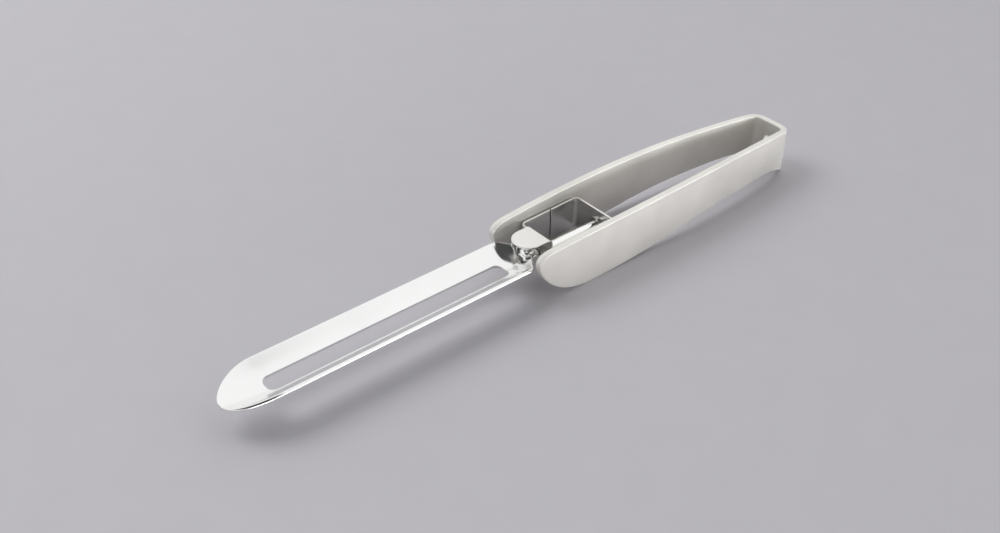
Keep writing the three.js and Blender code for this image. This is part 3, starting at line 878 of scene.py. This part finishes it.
def make_blade():
    """Sheet between an outer and an inner face, open at the slot and rounded along its two rims."""
    stations = blade_stations()
    rows = len(stations)
    verts = [point for x in stations for point in blade_line(x, BLADE_SHEET)]
    verts += [point for x in stations for point in blade_line(x, 0.0)]
    under = len(verts) // 2
    columns = under // rows
    slot_rows = range(stations.index(SLOT_FRONT_X), stations.index(SLOT_REAR_X))
    slot_columns = range(WALL_STEPS, columns - 1 - WALL_STEPS)
    faces = []

    def add_edge(a, b):
        """Face across the sheet between two points of its outer face."""
        faces.append((a, b, under + b, under + a))

    for row in range(rows - 1):
        for column in range(columns - 1):
            if row in slot_rows and column in slot_columns:
                continue
            a = row * columns + column
            b = a + columns
            faces.append((a, a + 1, b + 1, b))
            faces.append((under + a, under + b, under + b + 1, under + a + 1))
    for column, beside in ((0, 1), (columns - 1, columns - 2)):
        rounds = []
        for row in range(rows):
            outer = row * columns + column
            inner = under + outer
            rounds.append([inner, *range(len(verts), len(verts) + RIM_STEPS - 1), outer])
            verts += rim_round(verts[inner], verts[outer], verts[under + row * columns + beside])
        for here, there in zip(rounds, rounds[1:]):
            for k in range(RIM_STEPS):
                faces.append((here[k], there[k], there[k + 1], here[k + 1]))
        faces += [tuple(rounds[0]), tuple(rounds[-1])]
    for row in slot_rows:
        for column in (slot_columns.start, slot_columns.stop):
            add_edge(row * columns + column, (row + 1) * columns + column)
    for row in (slot_rows.start, slot_rows.stop):
        for column in slot_columns:
            add_edge(row * columns + column, row * columns + column + 1)
    for row in (0, rows - 1):
        for column in range(columns - 1):
            add_edge(row * columns + column, row * columns + column + 1)
    add_piece("trough_blade", verts, faces, "swivel", ["blade"], blade_steel,
              crease=BLADE_CREASE_ANGLE)


make_handle()
make_box()
make_tongue()
make_axle()
make_bushes()
make_washer("front_thrust_washer", "front_washer", FRONT_WASHER_X)
make_washer("rear_thrust_washer", "rear_washer", REAR_WASHER_X)
make_clip()
make_rivet()
make_rivet_washer()
make_blade()


# Floor, light and camera


def make_floor():
    """Plain sheet of paper just under the peeler."""
    mesh = bpy.data.meshes.new("floor")
    half = FLOOR_HALF_SIZE
    z = -FLOOR_DROP * MM
    corners = [(-half, -half, z), (half, -half, z), (half, half, z), (-half, half, z)]
    mesh.from_pydata(corners, [], [(0, 1, 2, 3)])
    floor = bpy.data.objects.new("floor", mesh)
    scene.collection.objects.link(floor)
    material, nodes, links = node_material("floor_paper")
    shader = nodes["Principled BSDF"]
    shader.inputs["Roughness"].default_value = FLOOR_ROUGHNESS
    shader.inputs["Specular IOR Level"].default_value = FLOOR_GLOSS
    place = nodes.new("ShaderNodeTexCoord").outputs["Object"]
    mottle = add_noise(nodes, links, place, MOTTLE_SCALE, MOTTLE_DETAIL)
    color_by(nodes, links, mottle.outputs["Fac"], shader, FLOOR_TONES)
    mesh.materials.append(material)


def fade(nodes, links, value, limits, start=0.0, end=1.0):
    """Smooth change from a start to an end while a value runs between limits."""
    node = nodes.new("ShaderNodeMapRange")
    node.interpolation_type = "SMOOTHSTEP"
    node.inputs["From Min"].default_value = limits[0]
    node.inputs["From Max"].default_value = limits[1]
    node.inputs["To Min"].default_value = start
    node.inputs["To Max"].default_value = end
    links.new(value, node.inputs["Value"])
    return node.outputs["Result"]


def nearness(nodes, links, direction, toward):
    """Cosine of the angle between a direction of the sky and a fixed one."""
    node = nodes.new("ShaderNodeVectorMath")
    node.operation = "DOT_PRODUCT"
    node.inputs[1].default_value = Vector(toward).normalized()
    links.new(direction, node.inputs[0])
    return node.outputs["Value"]


def product(nodes, links, first, second):
    node = nodes.new("ShaderNodeMath")
    node.operation = "MULTIPLY"
    links.new(first, node.inputs[0])
    links.new(second, node.inputs[1])
    return node.outputs["Value"]


def make_world():
    """Pale tent of light with a dark opening for the lens and a low white card in front."""
    world = bpy.data.worlds.new("studio")
    world.use_nodes = True
    scene.world = world
    nodes, links = world.node_tree.nodes, world.node_tree.links
    sky = nodes["Background"]
    direction = nodes.new("ShaderNodeTexCoord").outputs["Generated"]
    split = nodes.new("ShaderNodeSeparateXYZ")
    links.new(direction, split.inputs["Vector"])
    height = split.outputs["Z"]
    tent = fade(nodes, links, height, HORIZON_LIMITS, HORIZON_SHARE * SKY_STRENGTH, SKY_STRENGTH)
    dark = fade(nodes, links, nearness(nodes, links, direction, LENS_SIDE), LENS_LIMITS, 1.0, LENS_SHARE)
    card = fade(nodes, links, nearness(nodes, links, direction, FRONT_CARD), CARD_LIMITS)
    low = fade(nodes, links, height, CARD_TOP_LIMITS, CARD_GAIN, 0.0)
    gain = nodes.new("ShaderNodeMath")
    gain.operation = "ADD"
    gain.inputs[1].default_value = 1.0
    links.new(product(nodes, links, card, low), gain.inputs[0])
    shaded = product(nodes, links, tent, dark)
    links.new(product(nodes, links, shaded, gain.outputs["Value"]), sky.inputs["Strength"])
    sky.inputs["Color"].default_value = (1.0, 1.0, 1.0, 1)


def make_key_light():
    """Round lamp aimed at the origin, kept out of mirror reflections."""
    data = bpy.data.lights.new("key", "AREA")
    data.shape = "DISK"
    data.size = KEY_SIZE
    data.energy = KEY_POWER
    light = bpy.data.objects.new("key", data)
    light.location = KEY_PLACE
    light.rotation_mode = "QUATERNION"
    light.rotation_quaternion = (-Vector(KEY_PLACE)).to_track_quat("-Z", "Y")
    light.visible_glossy = False
    scene.collection.objects.link(light)


def make_camera():
    data = bpy.data.cameras.new("camera")
    data.sensor_width = CAMERA_SENSOR_WIDTH
    data.lens = CAMERA_LENS
    data.clip_start = CAMERA_CLIP_START * MM
    camera = bpy.data.objects.new("camera", data)
    right = Vector(CAMERA_RIGHT).normalized()
    up = Vector(CAMERA_UP)
    up = (up - right * up.dot(right)).normalized()
    back = right.cross(up)
    turn = Matrix((right, up, back)).transposed()
    camera.matrix_world = Matrix.Translation(scene_place(*CAMERA_AT)) @ turn.to_4x4()
    scene.collection.objects.link(camera)
    scene.camera = camera


make_floor()
make_world()
make_key_light()
make_camera()
scene.view_settings.view_transform = "Standard"
